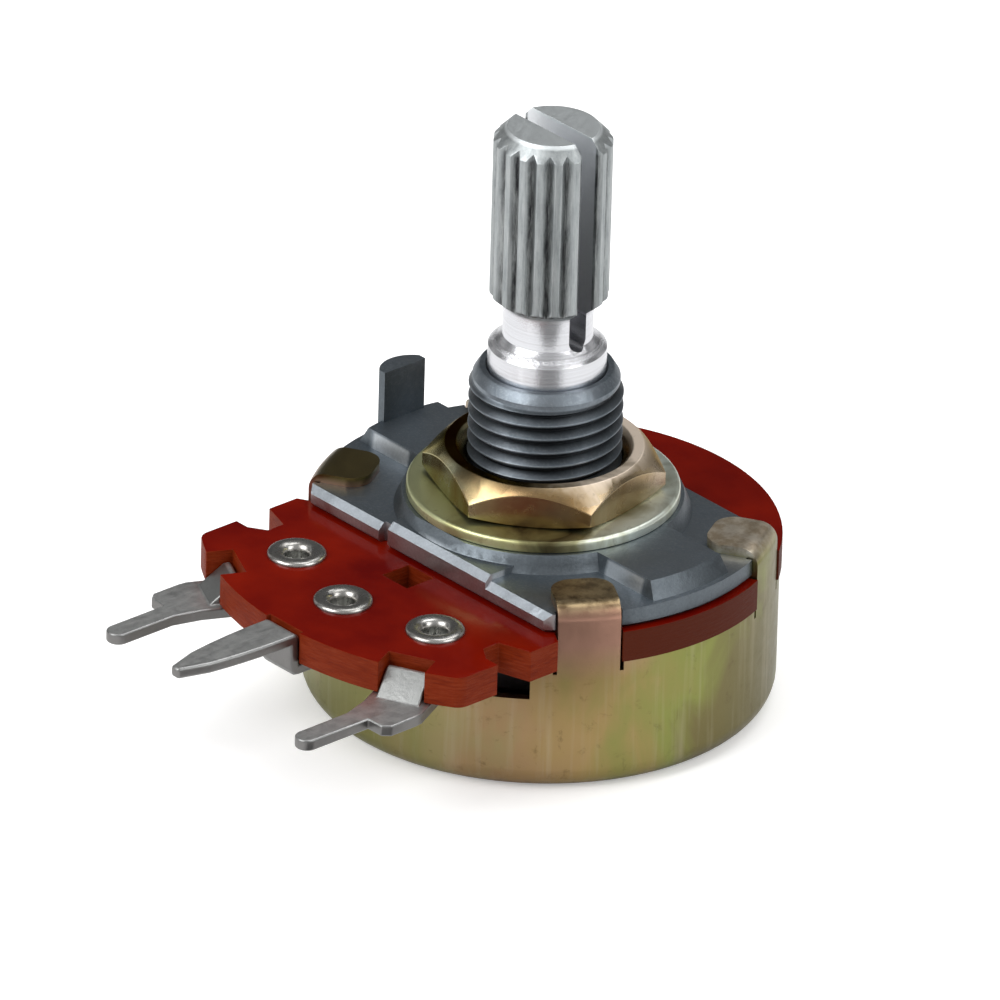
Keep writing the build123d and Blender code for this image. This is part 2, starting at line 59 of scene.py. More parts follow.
# The die-cast plate with its threaded bush and locating tab, in zinc alloy. The surface is
# dull blue grey, as it comes from the die; its bright edges and flanks are painted highlights
# and its darker slopes painted shade. The thread is cut after casting, below a plain lead-in at
# the mouth of the bush.
MM = 0.001
boss_top_radius = 6.6
boss_foot_radius = 8.0
rim_radius = 10.6
front_edge = -7.2
band_top = -0.05
bush_radius = 3.9
bush_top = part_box("mounting_plate")[1].z / MM
bore_radius = 3.04
bore_bevel_width = 0.06
bore_bevel_height = 0.08
cut_height = 0.3
thread_pitch = 0.75
thread_depth = 0.36
thread_start = 0.35
thread_end = bush_top - 0.95
crest_width = 0.05
root_start = 0.37
root_end = 0.43
turn_steps = 96
lead_radius = 3.72
lead_slope = 0.22
mouth_radius = 3.45
mouth_height = 0.5
mouth_bevel_width = 0.08
mouth_bevel_height = 0.06
fade = 0.2


def from_node(node):
    """A mesh in millimetres made from a CAD node's mesh, with its triangles merged."""
    shape = bmesh.new()
    shape.from_mesh(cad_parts[node].data)
    bmesh.ops.scale(shape, vec=(1 / MM,) * 3, verts=shape.verts)
    bmesh.ops.remove_doubles(shape, verts=shape.verts, dist=0.002)
    bmesh.ops.dissolve_limit(
        shape, angle_limit=math.radians(0.6), verts=shape.verts, edges=shape.edges
    )
    return shape


def soften(shape, width, sharpest=32, segments=2):
    """Rounds every edge that turns by more than the given angle, in degrees."""
    limit = math.radians(sharpest)
    edges = [e for e in shape.edges if e.is_manifold and e.calc_face_angle(0) > limit]
    bmesh.ops.bevel(
        shape, geom=edges, offset=width, offset_type="OFFSET", segments=segments,
        profile=0.5, material=-1, affect="EDGES", clamp_overlap=True,
    )


def in_scene(shape, name, material):
    """Turns a finished mesh into an object of the scene with one material."""
    mesh = bpy.data.meshes.new(name)
    shape.to_mesh(mesh)
    shape.free()
    thing = bpy.data.objects.new(name, mesh)
    thing.data.materials.append(material)
    bpy.context.scene.collection.objects.link(thing)
    return thing


def as_piece(shape, name, body, material, nodes, smooth=40):
    """Clears a mesh of slivers and puts it in the scene, in metres, in place of its nodes."""
    bmesh.ops.dissolve_degenerate(shape, dist=0.0005, edges=shape.edges)
    bmesh.ops.scale(shape, vec=(MM,) * 3, verts=shape.verts)
    for face in shape.faces:
        face.smooth = True
    for edge in shape.edges:
        edge.smooth = not edge.is_manifold or edge.calc_face_angle(0) < math.radians(smooth)
    piece = in_scene(shape, name, material)
    even = piece.modifiers.new("even_shading", "WEIGHTED_NORMAL")
    even.mode = "FACE_AREA"
    even.keep_sharp = True
    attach(piece, body)
    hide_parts(*nodes)


def finish(name, colour, metallic, roughness):
    """A new material, with its node tree and its shader."""
    material = bpy.data.materials.new(name)
    material.use_nodes = True
    tree = material.node_tree
    shader = tree.nodes["Principled BSDF"]
    shader.inputs["Base Color"].default_value = (*colour, 1)
    shader.inputs["Metallic"].default_value = metallic
    shader.inputs["Roughness"].default_value = roughness
    return material, tree, shader


def coat(tree, shader, colour, roughness=None):
    """Leads a colour, and a roughness where it varies, to the shader."""
    tree.links.new(colour, shader.inputs["Base Color"])
    if roughness:
        tree.links.new(roughness, shader.inputs["Roughness"])


def place(tree, stretch=(1, 1, 1), turn=0):
    """Position on the object in millimetres, stretched along its axes and turned, in degrees."""
    source = tree.nodes.new("ShaderNodeTexCoord")
    mapping = tree.nodes.new("ShaderNodeMapping")
    mapping.inputs["Scale"].default_value = [share / MM for share in stretch]
    mapping.inputs["Rotation"].default_value = (0, 0, math.radians(turn))
    tree.links.new(source.outputs["Object"], mapping.inputs["Vector"])
    return mapping.outputs["Vector"]


def noise(tree, where, scale, detail=4, roughness=0.55, distortion=0):
    """Cloudy marks, finer with a larger scale."""
    node = tree.nodes.new("ShaderNodeTexNoise")
    node.inputs["Scale"].default_value = scale
    node.inputs["Detail"].default_value = detail
    node.inputs["Roughness"].default_value = roughness
    node.inputs["Distortion"].default_value = distortion
    tree.links.new(where, node.inputs["Vector"])
    return node.outputs["Fac"]


def ramp(tree, value, stops):
    """Turns a value into a colour, or a grey where the stops are single numbers."""
    node = tree.nodes.new("ShaderNodeValToRGB")
    elements = node.color_ramp.elements
    while len(elements) < len(stops):
        elements.new(0.5)
    for element, (position, colour) in zip(elements, stops):
        element.position = position
        tone = colour if isinstance(colour, tuple) else (colour,) * 3
        element.color = (*tone, 1)
    tree.links.new(value, node.inputs["Fac"])
    return node.outputs["Color"]


def blend(tree, share, first, second, kind="MIX"):
    """Mixes two colours, each a socket or a fixed colour, by a share of the second."""
    node = tree.nodes.new("ShaderNodeMix")
    node.data_type = "RGBA"
    node.blend_type = kind
    share_socket, first_socket, second_socket = node.inputs[0], node.inputs[6], node.inputs[7]
    for value, socket in ((share, share_socket), (first, first_socket), (second, second_socket)):
        if isinstance(value, bpy.types.NodeSocket):
            tree.links.new(value, socket)
        else:
            socket.default_value = (*value, 1) if isinstance(value, tuple) else value
    return node.outputs[2]


def relief(tree, shader, height, depth, below=None):
    """Bumps the surface by a depth in millimetres, on top of a coarser relief."""
    node = tree.nodes.new("ShaderNodeBump")
    node.inputs["Distance"].default_value = depth * MM
    tree.links.new(height, node.inputs["Height"])
    if below:
        tree.links.new(below, node.inputs["Normal"])
    tree.links.new(node.outputs["Normal"], shader.inputs["Normal"])
    return node.outputs["Normal"]


def span(tree, value, start, end):
    """A mask that is nothing at the start and full at the end, which may be the lower value."""
    node = tree.nodes.new("ShaderNodeMapRange")
    node.inputs["From Min"].default_value = start
    node.inputs["From Max"].default_value = end
    tree.links.new(value, node.inputs["Value"])
    return node.outputs["Result"]


def arithmetic(tree, kind, first, second=None):
    """One step of arithmetic on one or two values."""
    node = tree.nodes.new("ShaderNodeMath")
    node.operation = kind
    tree.links.new(first, node.inputs[0])
    if second is not None:
        tree.links.new(second, node.inputs[1])
    return node.outputs["Value"]


def both(tree, first, second):
    """The mask where two masks overlap."""
    return arithmetic(tree, "MULTIPLY", first, second)


def part_of(tree, vector, axis="Z"):
    """One component of a position or a direction."""
    node = tree.nodes.new("ShaderNodeSeparateXYZ")
    tree.links.new(vector, node.inputs["Vector"])
    return node.outputs[axis]


def levelness(tree):
    """Nothing on upright faces and one on level faces, up or down."""
    source = tree.nodes.new("ShaderNodeTexCoord")
    return arithmetic(tree, "ABSOLUTE", part_of(tree, source.outputs["Normal"]))


def radius_of(tree, where):
    """Distance from the shaft's axis in millimetres."""
    flat = tree.nodes.new("ShaderNodeVectorMath")
    flat.operation = "MULTIPLY"
    flat.inputs[1].default_value = (1, 1, 0)
    tree.links.new(where, flat.inputs[0])
    length = tree.nodes.new("ShaderNodeVectorMath")
    length.operation = "LENGTH"
    tree.links.new(flat.outputs["Vector"], length.inputs[0])
    return length.outputs["Value"]


def zinc_casting():
    material, tree, shader = finish("zinc_casting", (0.22, 0.25, 0.28), 1.0, 0.4)
    where = place(tree)
    height = part_of(tree, where)
    radius = radius_of(tree, where)
    level = levelness(tree)
    upright = span(tree, level, 0.4, 0.15)
    sloped = span(tree, level, 0.98, 0.92)
    patches = noise(tree, where, 0.35, 5, 0.6, 0.6)
    grain = noise(tree, where, 7, 6, 0.7)
    skin = ramp(tree, patches, [
        (0.3, (0.12, 0.142, 0.162)), (0.52, (0.18, 0.206, 0.232)), (0.75, (0.25, 0.28, 0.31)),
    ])
    sparkle = ramp(tree, grain, [(0.5, 0.0), (0.75, 0.4)])
    skin = blend(tree, sparkle, skin, (0.36, 0.39, 0.41))
    # painted shade: darker slopes round the boss and at the rim
    boss = both(
        tree, span(tree, radius, boss_foot_radius, boss_foot_radius - fade),
        span(tree, radius, boss_top_radius, boss_top_radius + fade),
    )
    rim = span(tree, radius, rim_radius, rim_radius + fade)
    dull_and_shaded = both(tree, sloped, arithmetic(tree, "MAXIMUM", boss, rim))
    skin = blend(tree, dull_and_shaded, skin, blend(tree, grain, (0.07, 0.082, 0.092), (0.17, 0.195, 0.215)))
    # painted highlight: bright flanks on the raised band between them
    between = both(
        tree, span(tree, radius, rim_radius, rim_radius - fade),
        span(tree, radius, boss_foot_radius - fade, boss_foot_radius),
    )
    painted_flank_highlight = both(
        tree, both(tree, upright, between), span(tree, height, band_top, band_top - 0.1)
    )
    skin = blend(tree, painted_flank_highlight, skin, blend(tree, grain, (0.4, 0.43, 0.45), (0.75, 0.79, 0.82)))
    # the straight edge over the terminals: a painted highlight on its bevel, and on its upright
    # face a painted reddish reflection of the board
    ahead = span(tree, part_of(tree, where, "Y"), front_edge, front_edge - fade)
    edge = both(tree, ahead, sloped)
    skin = blend(tree, edge, skin, blend(tree, grain, (0.26, 0.29, 0.32), (0.5, 0.54, 0.58)))
    painted_board_reflection = both(tree, edge, upright)
    skin = blend(tree, painted_board_reflection, skin, blend(tree, grain, (0.3, 0.27, 0.27), (0.6, 0.53, 0.53)))
    # painted shade, darker towards the root of the thread; the crests keep their full tone
    depth = span(tree, radius, bush_radius - thread_depth, bush_radius)
    painted_thread_shade = ramp(tree, depth, [(0.0, 0.12), (0.45, 0.34), (0.84, 0.55), (0.97, 1.0)])
    lead_start = thread_end + lead_slope
    cut = both(
        tree, span(tree, height, cut_height, cut_height + 0.04),
        span(tree, height, lead_start - 0.02, lead_start - 0.1),
    )
    skin = blend(tree, cut, skin, blend(tree, 1.0, skin, painted_thread_shade, "MULTIPLY"))
    coat(tree, shader, skin, ramp(tree, patches, [(0.3, 0.5), (0.7, 0.32)]))
    relief(tree, shader, grain, 0.012, relief(tree, shader, patches, 0.05))
    return material


def push_out(shape, rim, radius, height):
    """Extrudes an open rim to a level circle and returns the new rim."""
    made = bmesh.ops.extrude_edge_only(shape, edges=rim)["geom"]
    for vert in [v for v in made if isinstance(v, bmesh.types.BMVert)]:
        flat = Vector((vert.co.x, vert.co.y, 0)).normalized() * radius
        vert.co = (flat.x, flat.y, height)
    return [e for e in made if isinstance(e, bmesh.types.BMEdge) and e.is_boundary]


def thread():
    """A solid ring with the screw thread outside, a plain lead-in above and the bore inside."""
    shape = bmesh.new()
    root_radius = bush_radius - thread_depth
    section = [
        (bush_radius, 0), (bush_radius, crest_width), (root_radius, root_start),
        (root_radius, root_end), (bush_radius, thread_pitch),
    ]
    first_turn = thread_start - thread_pitch
    points = [shape.verts.new((radius, 0, first_turn + height)) for radius, height in section]
    edges = [shape.edges.new(pair) for pair in zip(points, points[1:])]
    turns = math.ceil((thread_end - thread_start) / thread_pitch) + 2
    bmesh.ops.spin(
        shape, geom=points + edges, cent=(0, 0, 0), axis=(0, 0, 1),
        dvec=(0, 0, thread_pitch / turn_steps), angle=2 * math.pi * turns,
        steps=turn_steps * turns, use_merge=False, use_duplicate=False,
    )
    bmesh.ops.remove_doubles(shape, verts=shape.verts, dist=0.004)
    for height, upward in ((thread_start, False), (thread_end, True)):
        bmesh.ops.bisect_plane(
            shape, geom=shape.verts[:] + shape.edges[:] + shape.faces[:], dist=1e-5,
            plane_co=(0, 0, height), plane_no=(0, 0, 1),
            clear_outer=upward, clear_inner=not upward,
        )
    open_edges = [e for e in shape.edges if e.is_boundary]
    rim = [e for e in open_edges if e.verts[0].co.z > thread_end - 0.01]
    foot = [e for e in open_edges if e.verts[0].co.z < thread_start + 0.01]
    outline = [
        (lead_radius, thread_end + lead_slope),
        (lead_radius, bush_top - mouth_height),
        (mouth_radius, bush_top - mouth_bevel_height),
        (mouth_radius - mouth_bevel_width, bush_top),
        (bore_radius + bore_bevel_width, bush_top),
        (bore_radius, bush_top - bore_bevel_height),
        (bore_radius, thread_start),
    ]
    for radius, height in outline:
        rim = push_out(shape, rim, radius, height)
    bmesh.ops.bridge_loops(shape, edges=rim + foot)
    bmesh.ops.triangulate(shape, faces=[f for f in shape.faces if len(f.verts) > 4])
    bmesh.ops.recalc_face_normals(shape, faces=shape.faces)
    return shape


casting_finish = zinc_casting()
casting = from_node("mounting_plate")
neck = [v for v in casting.verts if math.hypot(v.co.x, v.co.y) < bush_radius + 0.2]
inside = set(neck)
neck_edges = [e for e in casting.edges if all(v in inside for v in e.verts)]
neck_faces = [f for f in casting.faces if all(v in inside for v in f.verts)]
bmesh.ops.bisect_plane(
    casting, geom=neck + neck_edges + neck_faces, dist=1e-5, plane_co=(0, 0, cut_height),
    plane_no=(0, 0, 1), clear_outer=True, clear_inner=False,
)
bmesh.ops.bridge_loops(casting, edges=[e for e in casting.edges if e.is_boundary])
soften(casting, 0.07)
screw = bpy.data.meshes.new("thread")
ring = thread()
ring.to_mesh(screw)
ring.free()
casting.from_mesh(screw)
as_piece(casting, "casting", "housing", casting_finish, ["mounting_plate"], 30)


# The shaft, turned from light alloy bar. Its collar and neck are bright from the tool, and
# the end is rolled with coarse straight teeth and sawn through, so that it can spring in a
# knob. The rolled part is dull and scratched, with painted shade in the roots of its teeth
# and deeper down the sawn slot.
core_radius = 2.58
tooth_root = 2.76
tooth_crest = 2.96
rolled_start = 10.5
rolled_end = 19.6
faced_height = 20.2


def turned_shaft():
    material, tree, shader = finish("turned_shaft", (0.6, 0.62, 0.63), 1.0, 0.3)
    where = place(tree)
    height = part_of(tree, where)
    radius = radius_of(tree, where)
    marks = noise(tree, place(tree, (1.3, 1.3, 0.16)), 3, 5, 0.7)
    grain = noise(tree, where, 6, 4, 0.6)
    turned = noise(tree, place(tree, (0, 0, 9)), 1, 3, 0.6)
    land = ramp(tree, marks, [
        (0.3, (0.27, 0.29, 0.295)), (0.5, (0.37, 0.395, 0.4)), (0.75, (0.48, 0.5, 0.5)),
    ])
    painted_groove_shade = ramp(tree, marks, [
        (0.38, (0.05, 0.052, 0.055)), (0.5, (0.2, 0.21, 0.21)), (0.64, (0.36, 0.38, 0.38)),
    ])
    # the sawn slot's walls, with painted shade darker towards the slot's bottom
    up_the_slot = span(tree, height, 10, 19)
    sawn_and_shaded = ramp(tree, up_the_slot, [(0.0, (0.36, 0.37, 0.38)), (1.0, (0.74, 0.76, 0.78))])
    # the teeth lie between the sawn slot and the rolled diameter, below the faced end
    within = both(
        tree, span(tree, radius, core_radius, core_radius + 0.08),
        span(tree, height, rolled_end + 0.15, rolled_end),
    )
    # painted shade: the roots of the teeth take the darker groove tones
    dark = both(tree, within, span(tree, radius, tooth_crest, tooth_root))
    slot = both(
        tree, span(tree, radius, core_radius + 0.08, core_radius),
        span(tree, levelness(tree), 0.4, 0.2),
    )
    dull_and_shaded = blend(tree, dark, blend(tree, slot, land, sawn_and_shaded), painted_groove_shade)
    faced = span(tree, height, faced_height, faced_height + 0.1)
    dull_and_shaded = blend(tree, faced, dull_and_shaded, (0.74, 0.78, 0.79))
    bright = ramp(tree, turned, [(0.35, (0.6, 0.6, 0.62)), (0.65, (0.74, 0.75, 0.78))])
    rolled = span(tree, height, rolled_start, rolled_start + fade)
    matt = ramp(tree, grain, [(0.3, 0.52), (0.7, 0.4)])
    coat(
        tree, shader, blend(tree, rolled, bright, dull_and_shaded), blend(tree, rolled, (0.26,) * 3, matt)
    )
    scored = relief(tree, shader, blend(tree, dark, (0.5,) * 3, marks), 0.04)
    relief(tree, shader, grain, 0.006, scored)
    return material


shaft = from_node("shaft")
soften(shaft, 0.03, 25)
as_piece(shaft, "spindle_shaft", "spindle", turned_shaft(), ["shaft"])


# A thin bronze washer and a steel snap ring hold the shaft in the bush from behind. Both are
# plain stampings, oiled and a little stained.
def stained_metal(name, colour, dark, roughness):
    material, tree, shader = finish(name, colour, 1.0, roughness)
    stains = noise(tree, place(tree), 0.8, 5, 0.6, 0.5)
    scratches = noise(tree, place(tree, (0.6, 9, 6), 20), 1.2, 4, 0.65)
    gloss = ramp(tree, scratches, [(0.3, roughness + 0.12), (0.7, roughness - 0.08)])
    coat(tree, shader, ramp(tree, stains, [(0.3, dark), (0.6, colour)]), gloss)
    relief(tree, shader, scratches, 0.01)
    return material


def dress(node, material):
    """Gives a CAD node its finish."""
    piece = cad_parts[node]
    piece.data.materials.clear()
    piece.data.materials.append(material)
    for face in piece.data.polygons:
        face.material_index = 0


bronze = stained_metal("bronze_sheet", (0.7, 0.47, 0.3), (0.38, 0.22, 0.12), 0.34)
spring_steel = stained_metal("spring_steel", (0.34, 0.34, 0.35), (0.16, 0.15, 0.15), 0.36)
dress("friction_washer", bronze)
dress("retaining_ring", spring_steel)


# The terminal board, punched from red phenolic paper sheet. Its faces are glossy and deep red,
# and the punched edges are paler, fibrous and rough, darker towards the back, a painted shade
# between the plate and the cover.
tongue_root = -7.5


def phenolic():
    material, tree, shader = finish("phenolic_board", (0.12, 0.003, 0.0005), 0.0, 0.16)
    shader.inputs["Specular IOR Level"].default_value = 0.08
    where = place(tree)
    layers = noise(tree, place(tree, (0.8, 0.8, 7)), 1.3, 5, 0.65)
    clouds = noise(tree, where, 0.22, 4, 0.55)
    edge = ramp(tree, layers, [
        (0.25, (0.1, 0.008, 0.001)), (0.5, (0.155, 0.016, 0.002)), (0.8, (0.2, 0.032, 0.01)),
    ])
    # painted shade: the edges behind the tongue, between the plate and the cover, turn darker
    back = span(tree, part_of(tree, where, "Y"), tongue_root, tongue_root + 2)
    edge = blend(tree, back, edge, (0.07, 0.011, 0.003))
    top = ramp(tree, clouds, [(0.3, (0.078, 0.0006, 0.0001)), (0.7, (0.15, 0.005, 0.0003))])
    face = span(tree, levelness(tree), 0.55, 0.8)
    coat(tree, shader, blend(tree, face, edge, top), blend(tree, face, (0.5,) * 3, (0.14,) * 3))
    relief(tree, shader, blend(tree, face, layers, (0.5,) * 3), 0.04)
    return material


board = from_node("terminal_board")
soften(board, 0.05)
as_piece(board, "board", "housing", phenolic(), ["terminal_board"])


# The carbon track and its silver ends are screened on the back of the board. The collector
# is a silver-plated ring stamped with its arm, for the wiper's inner finger.
def printed(name, colour, dark, roughness):
    material, tree, shader = finish(name, colour, 0.0, roughness)
    grain = noise(tree, place(tree), 14, 4, 0.7)
    coat(tree, shader, ramp(tree, grain, [(0.3, dark), (0.7, colour)]))
    relief(tree, shader, grain, 0.01)
    return material


carbon = printed("carbon_print", (0.035, 0.033, 0.032), (0.012, 0.012, 0.012), 0.55)
silver = printed("silver_print", (0.62, 0.61, 0.58), (0.4, 0.39, 0.36), 0.42)
plated = stained_metal("plated_sheet", (0.75, 0.73, 0.68), (0.5, 0.47, 0.4), 0.28)
dress("resistive_track", carbon)
for side in ("left", "right"):
    dress("track_pad_" + side, silver)
dress("collector_ring", plated)


# Three solder terminals, stamped from tinned brass strip and bent. The tin is dull, with
# darker streaks from the rolls and small dents, and its upright and sloping faces, the
# sheared edges among them, are darker still, a painted shade.
def dull_tin():
    material, tree, shader = finish("tinned_terminal", (0.4, 0.41, 0.4), 1.0, 0.38)
    level = levelness(tree)
    streaks = noise(tree, place(tree, (3.5, 0.5, 1.5)), 1.4, 5, 0.65)
    mottle = noise(tree, place(tree), 1.6, 5, 0.65, 0.4)
    tone = ramp(tree, mottle, [
        (0.32, (0.48, 0.485, 0.48)), (0.55, (0.66, 0.67, 0.66)), (0.75, (0.76, 0.77, 0.75)),
    ])
    streaked = ramp(tree, streaks, [(0.4, 0.0), (0.7, 0.45)])
    tone = blend(tree, streaked, tone, (0.5, 0.49, 0.48))
    # painted shade: faces turn darker the more upright they are
    painted_side_shade = ramp(tree, level, [(0.25, (0.2, 0.195, 0.19)), (0.5, (0.27, 0.275, 0.27))])
    tone = blend(tree, span(tree, level, 0.93, 0.8), tone, painted_side_shade)
    coat(tree, shader, tone, ramp(tree, streaks, [(0.3, 0.34), (0.7, 0.46)]))
    relief(tree, shader, streaks, 0.012, relief(tree, shader, mottle, 0.02))
    return material


tin = dull_tin()
for side in ("left", "middle", "right"):
    node = "terminal_" + side
    terminal = from_node(node)
    soften(terminal, 0.17, segments=4)
    as_piece(terminal, "solder_" + node, "housing", tin, [node])


# Hollow rivets, tinned bright, clamp the terminals. The head is rolled over into a flat
# flange round a dished mouth.
flange_radius = 1.5
flange_edge = 0.05
crest_radius = 1.15
rolled_height = 0.27
bowl_depth = 0.42
hollow_radius = 0.62
hollow_depth = 1.3
shank_radius = 1.0
foot_radius = 1.4
foot_height = 0.4
flange_width = flange_radius - crest_radius
bowl_width = crest_radius - hollow_radius
quarter_turn = [math.radians(15 * count) for count in range(7)]


def bright_tin():
    material, tree, shader = finish("plated_rivet", (0.72, 0.72, 0.7), 1.0, 0.2)
    where = place(tree)
    wear = noise(tree, where, 1.6, 5, 0.6, 0.5)
    tone = ramp(tree, wear, [
        (0.3, (0.26, 0.25, 0.23)), (0.5, (0.42, 0.41, 0.39)), (0.7, (0.52, 0.51, 0.49)),
    ])
    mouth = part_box("rivet_left")[1].z / MM
    # painted highlight: the deep part of the bowl and the hollow are lighter
    painted_bowl_highlight = span(tree, part_of(tree, where), mouth - 0.3, mouth - 0.5)
    gloss = ramp(tree, wear, [(0.3, 0.34), (0.65, 0.2)])
    coat(tree, shader, blend(tree, painted_bowl_highlight, tone, (0.6, 0.6, 0.58)), gloss)
    relief(tree, shader, wear, 0.005)
    return material


def revolve(shape, outline, steps, centre=(0, 0)):
    """Turns (radius, height) points about an upright axis into a closed solid."""
    x, y = centre
    points = [shape.verts.new((x + radius, y, height)) for radius, height in outline]
    edges = [shape.edges.new(pair) for pair in zip(points, points[1:])]
    bmesh.ops.spin(
        shape, geom=points + edges, cent=(x, y, 0), axis=(0, 0, 1), dvec=(0, 0, 0),
        angle=2 * math.pi, steps=steps, use_merge=True, use_duplicate=False,
    )
    bmesh.ops.remove_doubles(shape, verts=shape.verts, dist=0.001)
    bmesh.ops.recalc_face_normals(shape, faces=shape.faces)


rivet_tin = bright_tin()
for side in ("left", "middle", "right"):
    node = "rivet_" + side
    low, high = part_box(node)
    tail = low.z / MM
    crest = high.z / MM
    seat = crest - rolled_height
    # from the flange's edge over the crest, down the bowl and the hollow, and round the foot
    flange = [
        (
            crest_radius + flange_width * math.cos(turn),
            seat + flange_edge + (rolled_height - flange_edge) * math.sin(turn),
        )
        for turn in quarter_turn
    ]
    bowl = [
        (
            hollow_radius + bowl_width * (1 - math.sin(turn)),
            crest - bowl_depth + bowl_depth * math.cos(turn),
        )
        for turn in quarter_turn[1:]
    ]
    foot = [
        (hollow_radius, crest - hollow_depth), (0, crest - hollow_depth - 0.2), (0, tail),
        (foot_radius - 0.25, tail), (foot_radius - 0.1, tail + 0.05), (foot_radius, tail + 0.2),
        (foot_radius, tail + foot_height), (shank_radius, tail + foot_height),
        (shank_radius, seat), (flange_radius, seat), (flange_radius, seat + flange_edge),
    ]
    rivet = bmesh.new()
    centre = (low + high) / 2 / MM
    revolve(rivet, flange + bowl + foot, 64, (centre.x, centre.y))
    as_piece(rivet, "hollow_" + node, "housing", rivet_tin, [node], 50)


# The rotor is moulded in black plastic and carries the stop arm. The wiper is a thin bronze
# stamping held on two moulded keys, with a slit finger for each track.
def black_moulding():
    material, tree, shader = finish("moulded_rotor", (0.03, 0.03, 0.032), 0.0, 0.42)
    where = place(tree)
    flow = noise(tree, where, 0.5, 4, 0.6, 1.2)
    tone = ramp(tree, flow, [(0.3, (0.02, 0.02, 0.021)), (0.7, (0.05, 0.05, 0.052))])
    coat(tree, shader, tone, ramp(tree, flow, [(0.3, 0.5), (0.7, 0.36)]))
    relief(tree, shader, noise(tree, where, 12, 3, 0.6), 0.01)
    return material


dress("rotor", black_moulding())
dress("wiper", bronze)


# The rear cover is a cup drawn from steel sheet, zinc plated and passivated yellow, so that
# it shimmers from gold to olive and pink. Four lugs are folded over the plate to close it.
# Its colour bands also carry painted light and shade.
lug_root = -4.6
lug_waist = -2.6
fold_start = -1.1
fold_end = -0.5


def passivated(name, tones_and_light, roughness, across, cloud, grain_depth, top=None):
    """Bands of colour along a level direction, broken up by clouds, with others on top. The bands
    carry painted light and shade along with the passivation's colours.
    """
    material, tree, shader = finish(name, tones_and_light[1][1], 1.0, roughness)
    where = place(tree)
    along = tree.nodes.new("ShaderNodeVectorMath")
    along.operation = "DOT_PRODUCT"
    along.inputs[1].default_value = across
    tree.links.new(where, along.inputs[0])
    spread = tree.nodes.new("ShaderNodeMath")
    spread.operation = "MULTIPLY_ADD"
    spread.inputs[1].default_value = 0.9
    tree.links.new(noise(tree, place(tree, (1, 1, 0.6)), cloud, 4, 0.55, 0.7), spread.inputs[0])
    tree.links.new(along.outputs["Value"], spread.inputs[2])
    band = spread.outputs["Value"]
    stains = noise(tree, where, 1.1, 6, 0.7, 0.4)
    colour = ramp(tree, band, tones_and_light)
    gloss = ramp(tree, stains, [(0.3, roughness + 0.1), (0.7, roughness)])
    if top:
        # where top tones are given, level faces take them: painted light and shade that set the
        # top apart from the sides
        level = span(tree, levelness(tree), 0.7, 0.8)
        colour = blend(tree, level, colour, ramp(tree, band, top))
        gloss = blend(tree, level, gloss, ramp(tree, band, [(0.3, 0.2), (0.7, 0.58)]))
    dark = ramp(tree, stains, [(0.28, 0.45), (0.42, 0.0)])
    colour = blend(tree, dark, colour, (0.1, 0.07, 0.035))
    coat(tree, shader, colour, gloss)
    relief(tree, shader, noise(tree, where, 5, 5, 0.7), grain_depth)
    return material, tree, shader, colour


def passivated_cup():
    """The cover's finish: colour bands with painted light and shade, streaks from the draw with a
    painted sheen, and brown, rubbed lugs above the plate.
    """
    # the passivation's gold, pink and olive with painted light and shade: lighter across the
    # middle and darker towards the flanks, most of all on the +X +Y side
    tones_and_light = [
        (0.05, (0.25, 0.24, 0.09)), (0.2, (0.31, 0.255, 0.12)), (0.34, (0.34, 0.225, 0.115)),
        (0.5, (0.335, 0.235, 0.1)), (0.63, (0.255, 0.23, 0.078)), (0.77, (0.225, 0.24, 0.07)),
        (0.9, (0.17, 0.145, 0.06)),
    ]
    material, tree, shader, colour = passivated(
        "chromate_cover", tones_and_light, 0.3, (0.028, 0.031, 0.0), 0.16, 0.004
    )
    where = place(tree)
    x, y, z = (part_of(tree, where, axis) for axis in "XYZ")
    # lighter vertical streaks: draw marks that carry a painted sheen
    streaks = noise(tree, place(tree, (1.4, 1.4, 0.07)), 1.1, 3, 0.6)
    streaked = ramp(tree, streaks, [(0.5, 0.0), (0.72, 0.22)])
    drawn_with_sheen = blend(tree, streaked, colour, (0.5, 0.45, 0.32))
    # the front lugs turn pink on the way up, and each tip is rubbed in its own way
    pink = both(tree, span(tree, z, lug_root, lug_waist), span(tree, y, -2, -4))
    drawn_with_sheen = blend(tree, pink, drawn_with_sheen, (0.42, 0.235, 0.17))
    rough = ramp(tree, noise(tree, where, 1.3, 5, 0.65), [(0.38, 0.0), (0.62, 1.0)])
    front_tip = blend(tree, rough, (0.15, 0.105, 0.055), (0.37, 0.28, 0.16))
    back_tip = blend(tree, rough, (0.55, 0.44, 0.3), (0.85, 0.76, 0.62))
    rubbed = blend(tree, span(tree, y, 1, 3), front_tip, back_tip)
    rubbed = blend(tree, span(tree, x, -2, -4), rubbed, (0.13, 0.1, 0.035))
    folded = span(tree, z, fold_start, fold_end)
    coat(tree, shader, blend(tree, folded, drawn_with_sheen, rubbed))
    return material


cover = from_node("rear_cover")
soften(cover, 0.05)
as_piece(cover, "drawn_cover", "housing", passivated_cup(), ["rear_cover"])


# The plain washer is stamped from sheet and passivated like the cover, with a rounded rim
# from the punch. Its colour bands carry painted light as well: a dark band across the middle
# is a painted shadow and reflection of the nut, and the pale end a painted highlight.
washer_hole = 4.14
washer_rim = 6.9
washer_bevel = 0.06
washer_round = 0.2
washer_foot = 0.05
washer_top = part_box("flat_washer")[1].z / MM
